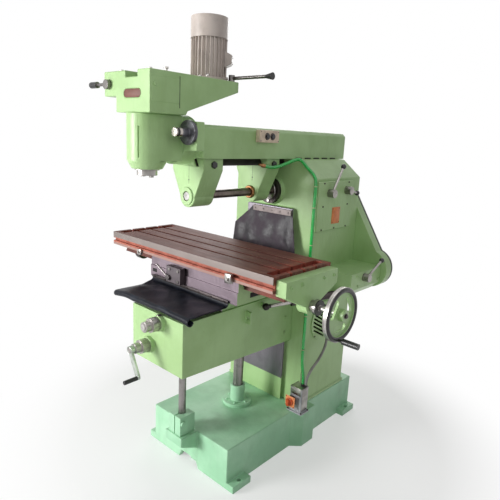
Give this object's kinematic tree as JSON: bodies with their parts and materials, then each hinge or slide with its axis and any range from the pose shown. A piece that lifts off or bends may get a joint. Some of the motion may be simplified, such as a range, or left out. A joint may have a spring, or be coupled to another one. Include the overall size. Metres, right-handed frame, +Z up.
{
  "type": "horizontal milling machine",
  "caption": "Green knee-type milling machine with a sliding overarm, arbor and supports, a slotted table on saddle and knee, and a motorised vertical head.",
  "frame": {"origin": "on the floor, under the front face of the column's ways, on the machine's middle plane", "axes": "+X to the operator's right along the table, +Y from the operator to the column, +Z up"},
  "size_m": [1.401, 1.3833, 2.008],
  "materials": {
    "green_paint": "satin",
    "base_paint": "satin",
    "steel": "satin",
    "dark_iron": "rough",
    "black_plastic": "matte",
    "grey_paint": "satin",
    "motor_paint": "satin",
    "belt_rubber": "matte",
    "cover_cloth": "matte",
    "green_hose": "gloss",
    "grey_cable": "matte",
    "orange_plastic": "gloss",
    "bronze": "satin",
    "apron_rubber": "satin",
    "table_iron": "satin",
    "cream_paint": "satin"
  },
  "bodies": {
    "frame": {"base_casting": "base_paint", "column_casting": "green_paint", "gear_cover": "green_paint", "vent_grille": "green_paint", "feed_box": "green_paint", "belt_guard": "green_paint", "elevating_nut": "base_paint", "post_clamp": "base_paint", "isolator_box": "grey_paint", "main_motor": "motor_paint", "main_belt": "belt_rubber", "feed_belt": "belt_rubber", "way_strip": "steel", "way_cover": "cover_cloth", "coolant_hose": "green_hose", "motor_cable": "grey_cable", "spindle_bearings": "steel"},
    "spindle": {"main_spindle": "dark_iron", "milling_arbor": "dark_iron", "spindle_gear": "steel"},
    "layshaft": {"layshaft": "steel", "layshaft_pulleys": "dark_iron"},
    "motor_rotor": {"motor_pulley": "dark_iron"},
    "feed_input": {"feed_pulley": "dark_iron"},
    "range_lever": {"range_lever": "steel"},
    "speed_lever": {"speed_lever": "steel"},
    "feed_lever": {"feed_lever": "steel"},
    "isolator_knob": {"isolator_knob": "orange_plastic"},
    "feed_sleeve": {"feed_sleeve": "steel"},
    "feed_rod": {"feed_rod": "steel"},
    "knee": {"knee_casting": "green_paint", "knee_post": "steel"},
    "knee_crank": {"crank_shaft": "steel", "knee_crank": "green_paint"},
    "elevating_screw": {"elevating_screw": "dark_iron"},
    "cross_screw": {"cross_screw": "steel"},
    "saddle": {"saddle_casting": "green_paint", "feed_nuts": "bronze", "apron": "apron_rubber", "trip_block": "dark_iron"},
    "trip_lever": {"trip_lever": "steel"},
    "table": {"table_slab": "table_iron", "right_bracket": "green_paint", "left_bracket": "dark_iron"},
    "table_wheel": {"lead_screw": "steel", "table_handwheel": "green_paint"},
    "overarm": {"overarm": "green_paint", "button_box": "cream_paint"},
    "start_button": {"start_button": "black_plastic"},
    "stop_button": {"stop_button": "black_plastic"},
    "front_support": {"front_support": "green_paint"},
    "rear_support": {"rear_support": "green_paint"},
    "head": {"head_body": "green_paint", "gear_head": "green_paint", "head_motor": "motor_paint"},
    "quill": {"quill": "steel"},
    "vertical_spindle": {"vertical_spindle": "steel"},
    "quill_wheel": {"quill_wheel": "dark_iron"},
    "head_lever": {"head_lever": "steel"},
    "motor_lever": {"motor_lever": "steel"}
  },
  "joints": [
    {"name": "knee_crank_turn", "type": "hinge", "parent": "knee", "child": "knee_crank", "pos_m": [-0.043, -0.76, 0.664], "axis": [0, 1, 0], "range_deg": [-7210, 8650]},
    {"name": "knee_slide", "type": "slide", "parent": "frame", "child": "knee", "axis": [0, 0, 1], "range_m": [-0.1, 0.12]},
    {"name": "elevating_screw_turn", "type": "hinge", "parent": "knee", "child": "elevating_screw", "pos_m": [0, -0.175, 0.664], "axis": [0, 0, 1], "range_deg": [-7210, 8650]},
    {"name": "feed_sleeve_tilt", "type": "hinge", "parent": "frame", "child": "feed_sleeve", "pos_m": [0.345, 0.105, 0.815], "axis": [-0.9142, 0.4054, 0], "range_deg": [-15.6, 18.7]},
    {"name": "feed_rod_tilt", "type": "hinge", "parent": "knee", "child": "feed_rod", "pos_m": [0.2, -0.222, 0.788], "axis": [-0.9142, 0.4054, 0], "range_deg": [-15.6, 18.7]},
    {"name": "cross_screw_turn", "type": "hinge", "parent": "knee", "child": "cross_screw", "pos_m": [0.028, -0.76, 0.782], "axis": [0, 1, 0], "range_deg": [-7210, 5050]},
    {"name": "saddle_slide", "type": "slide", "parent": "knee", "child": "saddle", "axis": [0, 1, 0], "range_m": [-0.1, 0.07]},
    {"name": "table_wheel_turn", "type": "hinge", "parent": "table", "child": "table_wheel", "pos_m": [0.657, -0.325, 0.907], "axis": [1, 0, 0], "range_deg": [-14420, 18740]},
    {"name": "table_slide", "type": "slide", "parent": "saddle", "child": "table", "axis": [1, 0, 0], "range_m": [-0.2, 0.26]},
    {"name": "trip_lever_swing", "type": "hinge", "parent": "saddle", "child": "trip_lever", "pos_m": [-0.155, -0.51, 0.902], "axis": [0, 1, 0], "range_deg": [-20, 20]},
    {"name": "spindle_spin", "type": "hinge", "parent": "frame", "child": "spindle", "pos_m": [0, 0, 1.297], "axis": [0, 1, 0], "continuous": true},
    {"name": "layshaft_spin", "type": "hinge", "parent": "frame", "child": "layshaft", "pos_m": [0.1426, 0.25, 1.27696], "axis": [0, 1, 0], "continuous": true},
    {"name": "motor_spin", "type": "hinge", "parent": "frame", "child": "motor_rotor", "pos_m": [0, 0.35, 0.602], "axis": [0, 1, 0], "continuous": true},
    {"name": "feed_input_spin", "type": "hinge", "parent": "frame", "child": "feed_input", "pos_m": [0.366, 0.46, 0.903], "axis": [0, 1, 0], "continuous": true},
    {"name": "range_lever_swing", "type": "hinge", "parent": "frame", "child": "range_lever", "pos_m": [0.266, 0.127, 1.304], "axis": [1, 0, 0], "range_deg": [-30, 30]},
    {"name": "speed_lever_swing", "type": "hinge", "parent": "frame", "child": "speed_lever", "pos_m": [0.266, 0.279, 1.312], "axis": [1, 0, 0], "range_deg": [-30, 30]},
    {"name": "feed_lever_swing", "type": "hinge", "parent": "frame", "child": "feed_lever", "pos_m": [0.424, 0.26, 0.895], "axis": [1, 0, 0], "range_deg": [-20, 30]},
    {"name": "isolator_turn", "type": "hinge", "parent": "frame", "child": "isolator_knob", "pos_m": [0.256, -0.06, 0.26], "axis": [0, 1, 0], "range_deg": [0, 90]},
    {"name": "overarm_slide", "type": "slide", "parent": "frame", "child": "overarm", "axis": [0, 1, 0], "range_m": [-0.15, 0.04]},
    {"name": "front_support_slide", "type": "slide", "parent": "overarm", "child": "front_support", "axis": [0, 1, 0], "range_m": [0, 0.12]},
    {"name": "rear_support_slide", "type": "slide", "parent": "overarm", "child": "rear_support", "axis": [0, 1, 0], "range_m": [-0.12, 0]},
    {"name": "start_button_press", "type": "slide", "parent": "overarm", "child": "start_button", "axis": [-1, 0, 0], "range_m": [0, 0.004], "stiffness_N_per_m": 200},
    {"name": "stop_button_press", "type": "slide", "parent": "overarm", "child": "stop_button", "axis": [-1, 0, 0], "range_m": [0, 0.004], "stiffness_N_per_m": 200},
    {"name": "head_swivel", "type": "hinge", "parent": "overarm", "child": "head", "pos_m": [0, -0.566, 1.526], "axis": [0, 1, 0], "range_deg": [-30, 30]},
    {"name": "quill_wheel_turn", "type": "hinge", "parent": "head", "child": "quill_wheel", "pos_m": [0.124, -0.64, 1.555], "axis": [0, 1, 0], "range_deg": [0, 1080]},
    {"name": "quill_slide", "type": "slide", "parent": "head", "child": "quill", "axis": [0, 0, -1], "range_m": [-0.0001, 0.0802]},
    {"name": "vertical_spin", "type": "hinge", "parent": "quill", "child": "vertical_spindle", "pos_m": [0, -0.741, 1.434], "axis": [0, 0, 1], "continuous": true},
    {"name": "head_lever_swing", "type": "hinge", "parent": "head", "child": "head_lever", "pos_m": [-0.152, -0.806, 1.718], "axis": [0, 1, 0], "range_deg": [-35, 35]},
    {"name": "motor_lever_swing", "type": "hinge", "parent": "head", "child": "motor_lever", "pos_m": [0.084, -0.385, 1.778], "axis": [0, 0, 1], "range_deg": [-25, 25]}
  ],
  "couplings": [
    {"joint": "knee_crank_turn", "follows": "knee_slide", "rad_per_m": 1256.6},
    {"joint": "elevating_screw_turn", "follows": "knee_slide", "rad_per_m": 1256.6},
    {"joint": "feed_sleeve_tilt", "follows": "knee_slide", "rad_per_m": 2.7035},
    {"joint": "feed_rod_tilt", "follows": "knee_slide", "rad_per_m": 2.7035},
    {"joint": "cross_screw_turn", "follows": "saddle_slide", "rad_per_m": 1256.6},
    {"joint": "table_wheel_turn", "follows": "table_slide", "rad_per_m": 1256.6},
    {"joint": "layshaft_spin", "follows": "spindle_spin", "ratio": -2},
    {"joint": "motor_spin", "follows": "spindle_spin", "ratio": -2.48},
    {"joint": "feed_input_spin", "follows": "spindle_spin", "ratio": -2},
    {"joint": "quill_slide", "follows": "quill_wheel_turn", "m_per_rad": 0.0042441}
  ]
}
